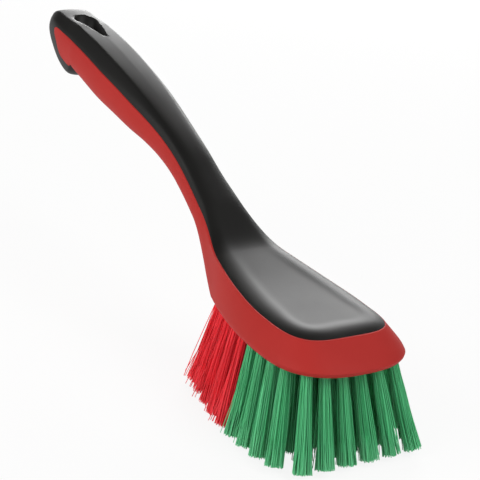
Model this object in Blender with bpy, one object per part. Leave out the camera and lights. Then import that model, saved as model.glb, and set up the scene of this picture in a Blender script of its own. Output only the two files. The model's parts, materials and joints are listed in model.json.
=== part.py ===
"""Hand brush: a red block with its handle in one moulding, a black soft grip over it, drilled tufts.

The brush is modelled with the flat underside of its head on z = 0, the head's front towards +X and
its two sides mirrored in y. One empty then lifts it onto its bristles and centres its length.
"""

from math import acos, asin, atan2, cos, hypot, pi, sin, sqrt

import bmesh
import bpy
from mathutils import Matrix, Vector

# Handle: sections square to its spine, from its end to the neck, all in metres
HANDLE_REACH = 0.2334
HANDLE_RISE = 0.0830
HANDLE_HALF_WIDTH = 0.0162
HANDLE_HALF_DEPTH = 0.0140
# Share of the reach, of the rise, of the half width and of the half depth at each section
HANDLE_SHARES = (
    (1.000, 1.000, 0.99, 0.84),
    (0.916, 0.963, 1.00, 0.91),
    (0.835, 0.910, 1.00, 0.98),
    (0.760, 0.855, 1.00, 1.00),
    (0.688, 0.805, 0.95, 0.95),
    (0.620, 0.752, 0.88, 0.88),
    (0.556, 0.701, 0.77, 0.77),
    (0.494, 0.641, 0.69, 0.69),
    (0.435, 0.570, 0.67, 0.64),
    (0.379, 0.483, 0.69, 0.62),
    (0.324, 0.398, 0.77, 0.61),
)
STATION_STEP_SHARE = 0.05
HANDLE_ROUNDNESS = 2.4
PARTING_SHARE = 0.46
PARTING_WIDTH_SHARE = 0.905

# Handle's end: the grip runs over it and ends under it as a nib
END_LENGTH = 0.0250
END_DEPTH = 0.0122
END_HALF_WIDTH = 0.0144
NIB_STATION = 1.35
# Rows from the nib round the end to the top: parting x and z, then crown x and z, from the end
# section's centre, as shares of the end's length and depth
END_SHARES = (
    (0.88, -1.05, 0.76, -1.59),
    (0.70, -0.96, 0.56, -1.65),
    (0.43, -0.82, 0.21, -1.31),
    (0.23, -0.53, -0.08, -0.87),
    (0.14, -0.34, -0.24, -0.59),
    (0.05, -0.15, -0.38, -0.30),
    (-0.04, 0.10, -0.51, 0.16),
    (-0.05, 0.30, -0.52, 0.52),
    (0.00, 0.43, -0.43, 0.83),
    (0.11, 0.46, -0.21, 1.00),
    (0.33, 0.40, 0.14, 0.93),
    (0.62, 0.28, 0.52, 0.85),
    (0.83, 0.21, 0.88, 0.78),
)
TOP_ROUNDNESS = 2.8
CREASE_SHARE = 0.62
CREASE_LIFT_SHARE = 0.94
CREASE_SHARPNESS_SHARES = (0.75, 0.75, 0.75, 0.70, 0.55, 0.40, 0.20, 0.05, 0.0, 0.0, 0.0)

# Pad and fascia of the head
PAD_REAR = -0.0400
PAD_CENTRE = 0.0095
PAD_FRONT_RUN = 0.0330
PAD_HALF_WIDTH = 0.0279
PAD_TAPER = 0.0094
PAD_TAPER_RUN = 0.0548
PAD_SQUARENESS = 3.9
PAD_FRONT_HEIGHT = 0.0128
PAD_REAR_LIFT = 0.0089
PAD_RUN = 0.0878
SHOULDER_RISE = 0.0025
SHOULDER_WIDTH = 0.0080
DISH_DEPTH = 0.0011
DISH_RUN = 0.0060

# Base of the head
BASE_REAR = -0.0410
BASE_CENTRE = 0.0257
BASE_FRONT_RUN = 0.0305
BASE_HALF_WIDTH = 0.0350
BASE_TAPER = 0.0130
BASE_TAPER_RUN = 0.0628
BASE_SQUARENESS = 2.5
BASE_ROUND = 0.0027
# How far each line of the fascia has gone out to the base, and how high it stays above the round
FASCIA_SHARES = ((0.45, 0.62), (0.83, 0.25))

# Soft grip, its rebate in the core and the hanging hole
GRIP_WALL = 0.0026
END_WALL = 0.0034
RIM = 0.0005
GAP = 0.0003
OVERRUN = 0.0030
HOLE_FROM_END = 0.0114
HOLE_RADIUS = 0.0064
HOLE_RUN = 0.0233
HOLE_POINT_RADIUS = 0.0017
LINER_WALL = 0.0015
LINER_RECESS = 0.0010

# Tufts: rows from the back of the head to its front
ROW_PITCH = 0.0089
FIRST_ROW = -0.0365
ROW_COUNTS = (4, 4, 5, 5, 6, 6, 6, 6, 6, 6)
CRIMSON_ROWS = 5
EDGE_LAND = 0.0054
TUFT_RADIUS = 0.0025
ROOT_DEPTH = 0.0080
FILAMENT_LENGTH = 0.0445
TRIM_DEPTH = 0.0005
FORWARD_LEAN_SHARE = 0.07
LENGTHWISE_FAN_RADIUS = 0.1615
SIDEWAYS_FAN_RADIUS = 0.1380
TIP_SPREAD_SHARE = 2.1
STRAND_TIP_SHARE = 1.55

# Places across the grip, from one parting line to the other, and the counts of rows
COLUMN_SHARES = (-1, -0.94, -0.82, -0.62, -0.32, 0, 0.32, 0.62, 0.82, 0.94, 1)
CAP_SHARES = (0.32, 0.62, 0.82, 0.94, 1)
LEVELS = 6
HANDLE_ROWS = 14
NECK_ROWS = 9
BODY_ROWS = 6
HOLE_SIDES = 12

STAND_HEIGHT = FILAMENT_LENGTH - TRIM_DEPTH


def through(stations, at):
    """Read the smooth curve through numbered stations at a station number."""
    last = len(stations) - 1
    first = min(int(at), last - 1)
    part = at - first
    near = [stations[min(max(first + step, 0), last)] for step in (-1, 0, 1, 2)]
    return [
        (2 * b + (c - a) * part + (2 * a - 5 * b + 4 * c - d) * part**2 + (3 * b - a - 3 * c + d) * part**3) / 2
        for a, b, c, d in zip(*near)
    ]


def superellipse(share, roundness):
    """Height of a unit superellipse at a share of its half width."""
    return max(0, 1 - abs(share) ** roundness) ** (1 / roundness)


def mix(start, end, share):
    """Go a share of the way from one point to another."""
    return start + (end - start) * share


# Sections of the handle


def spine(at):
    """Centre, normal, half width and half depth of the handle's section at a station."""
    x, z, width, depth = through(HANDLE_SHARES, at)
    back = through(HANDLE_SHARES, max(at - STATION_STEP_SHARE, 0))
    ahead = through(HANDLE_SHARES, min(at + STATION_STEP_SHARE, len(HANDLE_SHARES) - 1))
    run = (back[0] - ahead[0]) * HANDLE_REACH
    fall = (ahead[1] - back[1]) * HANDLE_RISE
    along = hypot(run, fall)
    centre = Vector((-x * HANDLE_REACH, 0, z * HANDLE_RISE))
    normal = Vector((-fall / along, 0, run / along))
    return centre, normal, width * HANDLE_HALF_WIDTH, depth * HANDLE_HALF_DEPTH


def top_shape(share, sharpness):
    """Height across the top, from 0 at the parting line to 1: a round bent towards two creases."""
    across = abs(share)
    rounded = superellipse(across, TOP_ROUNDNESS)
    if across > CREASE_SHARE:
        folded = CREASE_LIFT_SHARE * (1 - across) / (1 - CREASE_SHARE)
    else:
        folded = 1 - (1 - CREASE_LIFT_SHARE) * across / CREASE_SHARE
    return mix(rounded, folded, sharpness)


def pad_rise(inward, dish=1):
    """Height of the pad over its parting line, at a distance in from that line."""
    shoulder = SHOULDER_RISE * (1 - (1 - min(inward / SHOULDER_WIDTH, 1)) ** 2)
    hollow = min(max((inward - SHOULDER_WIDTH) / DISH_RUN, 0), 1)
    return shoulder - dish * DISH_DEPTH * hollow**2 * (3 - 2 * hollow)


def row(foot, tilt, half, rises, edge, wall, sides=(), bottom=()):
    """One row of the body as a flat list of numbers, so that rows can be blended."""
    numbers = [foot[0], foot[2], tilt, half, edge, wall] + list(rises)
    for point in list(sides) + list(bottom):
        numbers += list(point)
    return numbers


def end_row(shares):
    """A row of the grip where it goes round the handle's end."""
    start = Vector((-HANDLE_REACH, 0, HANDLE_RISE))
    foot = start + Vector((shares[0] * END_LENGTH, 0, shares[1] * END_DEPTH))
    crown = start + Vector((shares[2] * END_LENGTH, 0, shares[3] * END_DEPTH))
    lift = crown - foot
    rises = [lift.length * top_shape(share, CREASE_SHARPNESS_SHARES[0]) for share in COLUMN_SHARES]
    return row(foot, atan2(lift.x, lift.z), END_HALF_WIDTH, rises, 0, END_WALL)


def handle_row(at):
    """A row of the handle: its top over the parting line, its two sides and its belly."""
    centre, normal, width, depth = spine(at)
    sharpness = through([(share,) for share in CREASE_SHARPNESS_SHARES], at)[0]
    foot = centre + normal * depth * PARTING_SHARE
    rises = [depth * (1 - PARTING_SHARE) * top_shape(share, sharpness) for share in COLUMN_SHARES]
    last = len(HANDLE_SHARES) - 1
    spread = (at - NIB_STATION) / (last - NIB_STATION)
    upper = acos(PARTING_WIDTH_SHARE ** (HANDLE_ROUNDNESS / 2))
    lower = -mix(acos((END_HALF_WIDTH / HANDLE_HALF_WIDTH) ** (HANDLE_ROUNDNESS / 2)), pi * 0.37, spread)

    def around(angle):
        power = 2 / HANDLE_ROUNDNESS
        out = width * cos(angle) ** power
        lift = depth * abs(sin(angle)) ** power
        return centre + normal * (lift if angle > 0 else -lift) - Vector((0, out, 0))

    sides = [around(mix(upper, lower, level / LEVELS)) for level in range(1, LEVELS)]
    edge = -around(lower).y
    bottom = []
    for share in COLUMN_SHARES:
        drop = depth * superellipse(share * edge / width, HANDLE_ROUNDNESS)
        bottom.append(centre - normal * drop + Vector((0, share * edge, 0)))
    tilt = atan2(normal.x, normal.z)
    half = width * PARTING_WIDTH_SHARE
    return row(foot, tilt, half, rises, 0, GRIP_WALL, sides, bottom)


# Plan and sections of the head


def pad_half_width(x):
    return PAD_HALF_WIDTH - PAD_TAPER * (max(PAD_CENTRE - x, 0) / PAD_TAPER_RUN) ** 1.5


def base_half_width(x):
    return BASE_HALF_WIDTH - BASE_TAPER * (max(BASE_CENTRE - x, 0) / BASE_TAPER_RUN) ** 1.8


def parting_height(x):
    return PAD_FRONT_HEIGHT + PAD_REAR_LIFT * ((PAD_CENTRE + PAD_FRONT_RUN - x) / PAD_RUN) ** 2


def fascia(top, belt):
    """Points down the fascia from the parting line, as (way out, height, inset of the base)."""
    steps = []
    for out, lift in FASCIA_SHARES:
        steps.append((out, mix(BASE_ROUND, top, lift), 0))
    for angle in (0, pi / 6, pi / 3, pi / 2):
        steps.append((1, BASE_ROUND * (1 - sin(angle)), BASE_ROUND * (1 - cos(angle))))
    return steps


def body_row(share):
    """A row across the straight part of the head, at a share of the way to its rounded front."""
    x = mix(PAD_REAR, PAD_CENTRE, share)
    base_x = mix(BASE_REAR, BASE_CENTRE, share)
    half = pad_half_width(x)
    height = parting_height(x)
    dish = min(1, 0.2 + 1.6 * share)
    rises = [pad_rise((1 - abs(place)) * half, dish) for place in COLUMN_SHARES]
    steps = fascia(height, base_half_width(base_x))
    sides = []
    for out, lift, inset in steps:
        belt = base_half_width(base_x) - inset
        sides.append(Vector((mix(x, base_x, out), -mix(half, belt, out), lift)))
    flat = -sides.pop().y
    bottom = [Vector((base_x, place * flat, 0)) for place in COLUMN_SHARES]
    return row(Vector((x, 0, height)), 0, half, rises, pi / 2, GRIP_WALL, sides, bottom)


def neck_rows(before, last, first, after):
    """Blend the handle into the head, leaving each along its own lines."""
    reach = hypot(first[0] - last[0], first[1] - last[1])
    leave = reach / hypot(last[0] - before[0], last[1] - before[1])
    arrive = reach / hypot(after[0] - first[0], after[1] - first[1])
    tops = 6 + len(COLUMN_SHARES)
    count = len(last)
    rows = []
    for step in range(1, NECK_ROWS):
        t = step / NECK_ROWS
        blend = []
        for n in range(count):
            low = min(max((n - tops) / (3 * LEVELS), 0), 1)
            start = (last[n] - before[n]) * leave
            end = mix((after[n] - first[n]) * arrive, first[n] - last[n], low)
            if n in (2, 4) or 6 <= n < tops:
                start = end = 0
            blend.append(
                last[n] * (2 * t**3 - 3 * t**2 + 1)
                + start * (t**3 - 2 * t**2 + t)
                + first[n] * (3 * t**2 - 2 * t**3)
                + end * (t**3 - t**2)
            )
        rows.append(blend)
    return rows


def body_rows():
    """Every row from the nib's section forward to the start of the head's rounded front."""
    last = len(HANDLE_SHARES) - 1
    handle = [handle_row(mix(NIB_STATION, last, step / HANDLE_ROWS)) for step in range(HANDLE_ROWS + 1)]
    body = [body_row(step / BODY_ROWS) for step in range(BODY_ROWS + 1)]
    return handle + neck_rows(handle[-2], handle[-1], body[0], body[1]) + body


# Points of the grip's layers: "skin" is the body's own surface, "outer" the same standing in from
# the rim of the head, "inner" the grip's underside


def top_point(numbers, column, layer):
    """A point of one layer on a row that runs straight across."""
    x, z, tilt, half, edge, wall = numbers[:6]
    rises = numbers[6 : 6 + len(COLUMN_SHARES)]
    depth = wall if layer == "inner" else 0
    share = COLUMN_SHARES[column]
    if abs(share) < 1:
        out = abs(share) * (half - depth * cos(edge))
        lift = rises[column] - depth * mix(rises[column] / max(rises), 1, sin(edge))
    else:
        stand_in = 0 if layer == "skin" else (RIM + GAP) * sin(edge)
        step_in = (1 - abs(COLUMN_SHARES[1])) * half
        out = half - stand_in - depth * cos(edge)
        lift = rises[1] * stand_in / step_in - depth * sin(edge)
    up = Vector((sin(tilt), 0, cos(tilt)))
    return Vector((x, 0, z)) + up * lift + Vector((0, -out if share < 0 else out, 0))


def cap_plan(across, along, centre, run, width, squareness):
    """Place a point of a unit square on a rounded outline, or the same share of the way in."""
    largest = max(abs(across), abs(along))
    if largest == 0:
        return Vector((centre, 0, 0))
    scale = largest / (abs(across) ** squareness + abs(along) ** squareness) ** (1 / squareness)
    return Vector((centre + run * along * scale, width * across * scale, 0))


def cap_point(forward, column, layer):
    """A point of one layer on the rounded front of the pad."""
    share = COLUMN_SHARES[column]
    edge = cap_plan(share, forward, PAD_CENTRE, PAD_FRONT_RUN, PAD_HALF_WIDTH, PAD_SQUARENESS)
    ring = max(abs(share), abs(forward))
    centre = Vector((PAD_CENTRE, 0, 0))
    radius = (edge - centre).length / ring
    rise = pad_rise((1 - ring) * radius)
    if ring == 1 and layer != "skin":
        step_in = (1 - abs(COLUMN_SHARES[1])) * radius
        rise = pad_rise(step_in) * (RIM + GAP) / step_in
        edge = mix(edge, centre, (RIM + GAP) / radius)
    edge.z = parting_height(edge.x) + rise - (GRIP_WALL if layer == "inner" else 0)
    return edge


def base_point(forward, share, inset):
    """A point on the base's outline at the rounded front, or a share of the way in."""
    return cap_plan(
        share, forward, BASE_CENTRE, BASE_FRONT_RUN - inset, BASE_HALF_WIDTH - inset, BASE_SQUARENESS
    )


ROWS = body_rows()
END_ROWS = [end_row(shares) for shares in END_SHARES]
TIP_ROWS = len(END_ROWS) - LEVELS - 3
CAP_START = TIP_ROWS + len(ROWS)
LENGTH_STEPS = CAP_START + len(CAP_SHARES) - 1
WIDTH_STEPS = len(COLUMN_SHARES) - 1


def side_point(numbers, level, column):
    """A point down the side of a row, level 0 at the bottom and LEVELS at the parting line."""
    if level == LEVELS:
        return top_point(numbers, column, "skin")
    start = 6 + len(COLUMN_SHARES)
    if level == 0:
        start += 3 * (LEVELS - 1) + 3 * column
        return Vector(numbers[start : start + 3])
    start += 3 * (LEVELS - level - 1)
    x, y, z = numbers[start : start + 3]
    return Vector((x, y if column == 0 else -y, z))


def body_point(length, column, level):
    """Place one point of the box lattice on the outside of the whole body."""
    nib = TIP_ROWS
    if length >= CAP_START:
        forward = CAP_SHARES[length - CAP_START]
        share = COLUMN_SHARES[column]
        if level == LEVELS:
            return cap_point(forward, column, "skin")
        if level == 0:
            return base_point(forward, share, BASE_ROUND)
        top = cap_point(forward, column, "skin")
        out, lift, inset = fascia(top.z, 0)[LEVELS - level - 1]
        point = mix(top, base_point(forward, share, inset), out)
        point.z = lift
        return point
    if length >= nib:
        numbers = ROWS[length - nib]
        if level == LEVELS:
            return top_point(numbers, column, "skin")
        if level == 0:
            return side_point(numbers, 0, column)
        return side_point(numbers, level, column)
    if level == LEVELS:
        return top_point(END_ROWS[LEVELS + 3 + length], column, "skin")
    if level == 0:
        return top_point(END_ROWS[3 - length], column, "skin")
    if length == 0:
        return top_point(END_ROWS[3 + level], column, "skin")
    # Flat side of the handle's end: a patch stretched between its four edges
    u = length / nib
    v = level / LEVELS
    end_low = body_point(0, column, 0)
    end_high = body_point(0, column, LEVELS)
    near_low = body_point(nib, column, 0)
    near_high = body_point(nib, column, LEVELS)
    point = mix(body_point(0, column, level), body_point(nib, column, level), u)
    point += mix(body_point(length, column, 0), body_point(length, column, LEVELS), v)
    return point - mix(mix(end_low, near_low, u), mix(end_high, near_high, u), v)


def nib_row():
    """The grip's last row, which lies on the belly of the handle's first section."""
    ends = [side_point(ROWS[0], 0, column) for column in range(WIDTH_STEPS + 1)]
    foot = Vector((ends[0].x, 0, ends[0].z))
    lift = ends[WIDTH_STEPS // 2] - foot
    rises = [(point - foot).dot(lift.normalized()) for point in ends]
    return row(foot, atan2(lift.x, lift.z), ends[-1].y, rises, 0, END_WALL)


SHEET_ROWS = [nib_row()] + END_ROWS + ROWS
SHEET_STEPS = len(SHEET_ROWS) + len(CAP_SHARES) - 1


def sheet_point(step, column, level):
    """Place one point of the grip: from the nib round the end and forward over the top."""
    layer = ("inner", "outer")[level]
    if step < len(SHEET_ROWS):
        return top_point(SHEET_ROWS[step], column, layer)
    return cap_point(CAP_SHARES[step - len(SHEET_ROWS)], column, layer)


# Building the meshes


def lattice_box(lengths, widths, levels):
    """A closed box of square faces, with whole numbers for coordinates."""
    box = bmesh.new()
    bmesh.ops.create_grid(box, x_segments=lengths, y_segments=widths, size=0.5)
    for vertex in box.verts:
        vertex.co.x = round((vertex.co.x + 0.5) * lengths)
        vertex.co.y = round((vertex.co.y + 0.5) * widths)
    top = box.faces[:]
    for level in range(levels):
        lifted = bmesh.ops.extrude_face_region(box, geom=top)["geom"]
        corners = [item for item in lifted if isinstance(item, bmesh.types.BMVert)]
        bmesh.ops.translate(box, verts=corners, vec=(0, 0, 1))
        if level > 0:
            bmesh.ops.delete(box, geom=top, context="FACES")
        top = [item for item in lifted if isinstance(item, bmesh.types.BMFace)]
    return box


def place_lattice(box, place):
    """Move every corner of the lattice to its place and turn the faces outwards."""
    for vertex in box.verts:
        vertex.co = place(*(round(number) for number in vertex.co))
    flat = [face for face in box.faces if all(vertex.co.z == 0 for vertex in face.verts)]
    if flat:
        bmesh.ops.dissolve_faces(box, faces=flat, use_verts=False)
    quads = [face for face in box.faces if len(face.verts) == 4]
    bmesh.ops.triangulate(box, faces=quads, quad_method="SHORT_EDGE")
    bmesh.ops.recalc_face_normals(box, faces=box.faces[:])


def rebate_cutter(skin, lattice):
    """The grip grown by the gap, with its outer layer pushed out past the body."""
    cutter = skin.copy()
    cutter.verts.ensure_lookup_table()
    cutter.normal_update()
    places = {}
    for vertex in cutter.verts:
        places[lattice[vertex.index]] = vertex.co + vertex.normal * vertex.calc_shell_factor() * GAP
    for vertex in cutter.verts:
        step, column, level = lattice[vertex.index]
        place = places[(step, column, level)]
        if level == 1:
            place = place + (place - places[(step, column, 0)]).normalized() * OVERRUN
        vertex.co = place
    return cutter


def material(name, colour, roughness, metallic=0):
    """A plain surface with its colour as a screen shows it."""
    surface = bpy.data.materials.new(name)
    surface.use_nodes = True
    shader = surface.node_tree.nodes["Principled BSDF"]
    shader.inputs["Base Color"].default_value = [(channel / 255) ** 2.2 for channel in colour] + [1]
    shader.inputs["Roughness"].default_value = roughness
    shader.inputs["Metallic"].default_value = metallic
    surface.diffuse_color = shader.inputs["Base Color"].default_value
    return surface


def add_object(name, shape, surface=None, sharp=pi / 5):
    """Turn a bmesh into a named object of the scene."""
    mesh = bpy.data.meshes.new(name)
    shape.to_mesh(mesh)
    shape.free()
    mesh.shade_smooth()
    mesh.set_sharp_from_angle(angle=sharp)
    thing = bpy.data.objects.new(name, mesh)
    bpy.context.collection.objects.link(thing)
    if surface:
        mesh.materials.append(surface)
    else:
        thing.hide_render = True
        thing.display_type = "WIRE"
    return thing


def combine(thing, other, operation):
    """Cut, join or trim one object with another by a Boolean modifier."""
    step = thing.modifiers.new(other.name, "BOOLEAN")
    step.operation = operation
    step.object = other
    step.solver = "EXACT"
    step.use_self = True


def teardrop(growth):
    """Outline of the hanging hole: two circles and the two lines that touch both."""
    middle = HOLE_FROM_END - HANDLE_REACH
    turn = acos((HOLE_RADIUS - HOLE_POINT_RADIUS) / HOLE_RUN)
    points = []
    for step in range(15):
        angle = turn + (2 * pi - 2 * turn) * step / 14
        radius = HOLE_RADIUS + growth
        points.append((middle + radius * cos(angle), radius * sin(angle)))
    for step in range(7):
        angle = -turn + 2 * turn * step / 6
        radius = HOLE_POINT_RADIUS + growth
        points.append((middle + HOLE_RUN + radius * cos(angle), radius * sin(angle)))
    return points


def prism(outline, low, high):
    """A closed prism over an outline."""
    shape = bmesh.new()
    corners = [shape.verts.new((x, y, low)) for x, y in outline]
    base = shape.faces.new(corners)
    lifted = bmesh.ops.extrude_face_region(shape, geom=[base])["geom"]
    upper = [item for item in lifted if isinstance(item, bmesh.types.BMVert)]
    bmesh.ops.translate(shape, verts=upper, vec=(0, 0, high - low))
    bmesh.ops.recalc_face_normals(shape, faces=shape.faces[:])
    return shape


def tuft_roots():
    """Where each tuft leaves the underside, with its row."""
    places = []
    for number, count in enumerate(ROW_COUNTS):
        x = FIRST_ROW + number * ROW_PITCH
        if x < BASE_CENTRE:
            span = base_half_width(x) - EDGE_LAND
        else:
            forward = (x - BASE_CENTRE) / (BASE_FRONT_RUN - EDGE_LAND)
            span = (BASE_HALF_WIDTH - EDGE_LAND) * superellipse(forward, BASE_SQUARENESS)
        for place in range(count):
            y = span * (2 * place / (count - 1) - 1)
            places.append((number, Vector((x, y, 0))))
    return places


def lean(root):
    """From a tuft's root to the middle of its tip: the filaments are equally long and fan out."""
    x = FORWARD_LEAN_SHARE + root.x / LENGTHWISE_FAN_RADIUS
    y = root.y / SIDEWAYS_FAN_RADIUS
    return Vector((x, y, -sqrt(1 - x**2 - y**2))) * FILAMENT_LENGTH


def tuft_frame(root):
    """Local axes at a tuft's root, with +Z up its blind hole and the same on both sides in y."""
    up = -lean(root).normalized()
    across = up.cross(Vector((1, 0, 0))).normalized()
    along = across.cross(up)
    return Matrix.LocRotScale(root, Matrix((along, across, up)).transposed(), None)


def tuft_mesh(root):
    """A root plug in its hole, whose nine faces run on as nine four-sided strands."""
    shape = bmesh.new()
    bmesh.ops.create_grid(shape, x_segments=3, y_segments=3, size=1)
    for vertex in shape.verts:
        across, along = vertex.co.x, vertex.co.y
        vertex.co = cap_plan(across, along, 0, TUFT_RADIUS, TUFT_RADIUS, 2)
    exits = shape.faces[:]
    plug = bmesh.ops.extrude_face_region(shape, geom=exits)["geom"]
    roots = [item for item in plug if isinstance(item, bmesh.types.BMVert)]
    bmesh.ops.translate(shape, verts=roots, vec=(0, 0, ROOT_DEPTH))
    buried = [item for item in plug if isinstance(item, bmesh.types.BMFace)]
    bmesh.ops.dissolve_faces(shape, faces=buried)
    strands = bmesh.ops.extrude_discrete_faces(shape, faces=exits)["faces"]
    frame = tuft_frame(root)
    inverse = frame.inverted()
    for face in strands:
        middle = face.calc_center_median()
        for vertex in face.verts:
            start = frame @ vertex.co
            wide = middle * TIP_SPREAD_SHARE + (vertex.co - middle) * STRAND_TIP_SHARE
            end = frame @ (wide - Vector((0, 0, FILAMENT_LENGTH)))
            reach = min(1, (start.z + STAND_HEIGHT) / (start.z - end.z))
            vertex.co = inverse @ mix(start, end, reach)
    bmesh.ops.recalc_face_normals(shape, faces=shape.faces[:])
    return shape


def tuft_holes(places):
    """One cutter with the blind holes of all tufts, open past the underside."""
    holes = bmesh.new()
    depth = ROOT_DEPTH + GAP
    for number, root in places:
        frame = tuft_frame(root)
        middle = Matrix.Translation((0, 0, (depth - OVERRUN) / 2))
        turn = Matrix.Rotation(pi / HOLE_SIDES, 4, "Z")
        bmesh.ops.create_cone(
            holes,
            cap_ends=True,
            segments=HOLE_SIDES,
            radius1=(TUFT_RADIUS + GAP) / cos(pi / HOLE_SIDES),
            radius2=(TUFT_RADIUS + GAP) / cos(pi / HOLE_SIDES),
            depth=depth + OVERRUN,
            matrix=frame @ middle @ turn,
        )
    return holes


def build():
    for thing in list(bpy.data.objects):
        bpy.data.objects.remove(thing)

    red = material("red_plastic", (186, 50, 44), 0.42)
    black = material("black_grip", (38, 36, 34), 0.55)
    crimson = material("crimson_bristle", (214, 44, 58), 0.5)
    green = material("green_bristle", (52, 160, 100), 0.5)

    # Outside of the whole body, which the core keeps where the grip doesn't cover it
    body = lattice_box(LENGTH_STEPS, WIDTH_STEPS, LEVELS)
    place_lattice(body, body_point)
    bound = body.copy()
    bound.normal_update()
    for vertex in bound.verts:
        vertex.co = vertex.co - vertex.normal * LINER_RECESS
    liner_bound = add_object("liner_bound", bound)
    core = add_object("block_core", body, red)

    skin = lattice_box(SHEET_STEPS, WIDTH_STEPS, 1)
    skin.verts.index_update()
    lattice = [tuple(round(number) for number in vertex.co) for vertex in skin.verts]
    place_lattice(skin, sheet_point)
    combine(core, add_object("grip_rebate", rebate_cutter(skin, lattice)), "DIFFERENCE")
    grip = add_object("soft_grip", skin, black)

    # Hanging hole, lined by the grip
    low = HANDLE_RISE - 2 * END_DEPTH - OVERRUN
    high = HANDLE_RISE + END_DEPTH + OVERRUN
    liner = add_object("hole_liner", prism(teardrop(LINER_WALL), low, high))
    combine(liner, liner_bound, "INTERSECT")
    combine(grip, liner, "UNION")
    combine(grip, add_object("hanging_hole", prism(teardrop(0), low, high)), "DIFFERENCE")
    combine(core, add_object("liner_hole", prism(teardrop(LINER_WALL + GAP), low, high)), "DIFFERENCE")

    places = tuft_roots()
    combine(core, add_object("tuft_holes", tuft_holes(places)), "DIFFERENCE")
    pieces = [core, grip]
    counts = {"crimson": 0, "green": 0}
    for number, root in places:
        colour = "crimson" if number < CRIMSON_ROWS else "green"
        counts[colour] += 1
        name = f"{colour}_tuft_{counts[colour]:02d}"
        tuft = add_object(name, tuft_mesh(root), crimson if colour == "crimson" else green)
        tuft.matrix_world = tuft_frame(root)
        pieces.append(tuft)

    # Stand the brush on its bristles, with the middle of its length at the origin
    bpy.context.view_layer.update()
    ends = [(thing.matrix_world @ vertex.co).x for thing in pieces for vertex in thing.data.vertices]
    brush = bpy.data.objects.new("hand_brush", None)
    bpy.context.collection.objects.link(brush)
    for thing in bpy.data.objects:
        if thing is not brush:
            thing.parent = brush
    brush.location = (-(min(ends) + max(ends)) / 2, 0, STAND_HEIGHT)
    bpy.context.view_layer.update()


build()
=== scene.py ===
# %% [markdown]
# # A hand brush, dressed over its CAD model
# The brush is a red block with its handle in one moulding, a black soft grip moulded over it, and
# tufts of stiff filaments in drilled holes. The CAD model carries the exact places. This script makes
# the same forms again with many more faces, bristles made of single filaments, real finishes, a floor,
# lamps and a camera.

# %% Load the frame
import json
import random
from math import acos, atan2, cos, hypot, pi, sin, sqrt

import bmesh
import bpy
from mathutils import Matrix, Vector

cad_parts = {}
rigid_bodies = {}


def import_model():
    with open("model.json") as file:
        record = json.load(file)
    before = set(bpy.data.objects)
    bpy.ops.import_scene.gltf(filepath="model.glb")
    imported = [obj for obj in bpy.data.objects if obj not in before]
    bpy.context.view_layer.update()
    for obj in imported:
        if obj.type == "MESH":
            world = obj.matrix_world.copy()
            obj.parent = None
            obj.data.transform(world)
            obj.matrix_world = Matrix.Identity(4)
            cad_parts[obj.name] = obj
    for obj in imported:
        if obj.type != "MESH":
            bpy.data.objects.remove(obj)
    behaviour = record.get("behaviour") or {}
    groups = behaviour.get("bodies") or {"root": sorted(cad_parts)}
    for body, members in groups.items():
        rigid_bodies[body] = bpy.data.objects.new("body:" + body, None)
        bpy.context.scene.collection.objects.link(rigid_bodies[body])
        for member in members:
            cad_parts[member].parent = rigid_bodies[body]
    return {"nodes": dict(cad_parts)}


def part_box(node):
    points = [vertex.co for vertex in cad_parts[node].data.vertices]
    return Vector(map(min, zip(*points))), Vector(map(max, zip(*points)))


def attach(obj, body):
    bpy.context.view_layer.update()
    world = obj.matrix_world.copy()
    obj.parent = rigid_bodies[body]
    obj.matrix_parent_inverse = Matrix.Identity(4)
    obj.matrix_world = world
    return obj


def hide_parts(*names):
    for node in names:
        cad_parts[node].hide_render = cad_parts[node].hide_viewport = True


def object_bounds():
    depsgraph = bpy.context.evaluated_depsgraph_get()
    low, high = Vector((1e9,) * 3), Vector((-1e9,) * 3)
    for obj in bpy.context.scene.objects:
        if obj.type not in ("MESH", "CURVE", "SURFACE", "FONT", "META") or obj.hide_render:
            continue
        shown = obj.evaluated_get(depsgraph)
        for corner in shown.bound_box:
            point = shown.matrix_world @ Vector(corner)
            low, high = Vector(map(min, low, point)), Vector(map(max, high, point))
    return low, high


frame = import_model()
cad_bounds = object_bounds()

bpy.context.scene.view_settings.view_transform = "Standard"
print("CAD nodes:", len(frame["nodes"]))

# %% [markdown]
# ## Where the model stands
# Every size below is measured on the block, with its flat underside at height 0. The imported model
# stands on its bristles with its length centred, so one vector carries a point from the block to the
# frame. The tip of the handle's end gives the shift along the length: the CAD grip ends there.

# %% Place of the block in the frame
HANDLE_REACH = 0.2334
END_LENGTH = 0.0250
END_OVERHANG_SHARE = 0.52
END_TIP = -(HANDLE_REACH + END_OVERHANG_SHARE * END_LENGTH)
FILAMENT_LENGTH = 0.0445
TRIM_DEPTH = 0.0005
STAND_HEIGHT = FILAMENT_LENGTH - TRIM_DEPTH

PLACE = Vector((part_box("soft_grip")[0].x - END_TIP, 0, STAND_HEIGHT))
print("block placed at", [round(number, 5) for number in PLACE])

# %% [markdown]
# ## Camera
# The camera's place, direction and lens were fitted together to the outline of the brush in the
# photograph. They are given relative to the block, so they follow it. The matrix holds the camera's
# right, up and backward directions as its columns, which avoids any mix-up of rotation orders.

# %% Camera
SENSOR_WIDTH_MM = 36
LENS_MM = 112.4665
CAMERA_RIGHT = Vector((0.544811, 0.831983, 0.104807))
CAMERA_UP = Vector((-0.342530, 0.106715, 0.933426))
CAMERA_FROM_BLOCK = Vector((0.506385, -0.396215, 0.274243))

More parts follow.
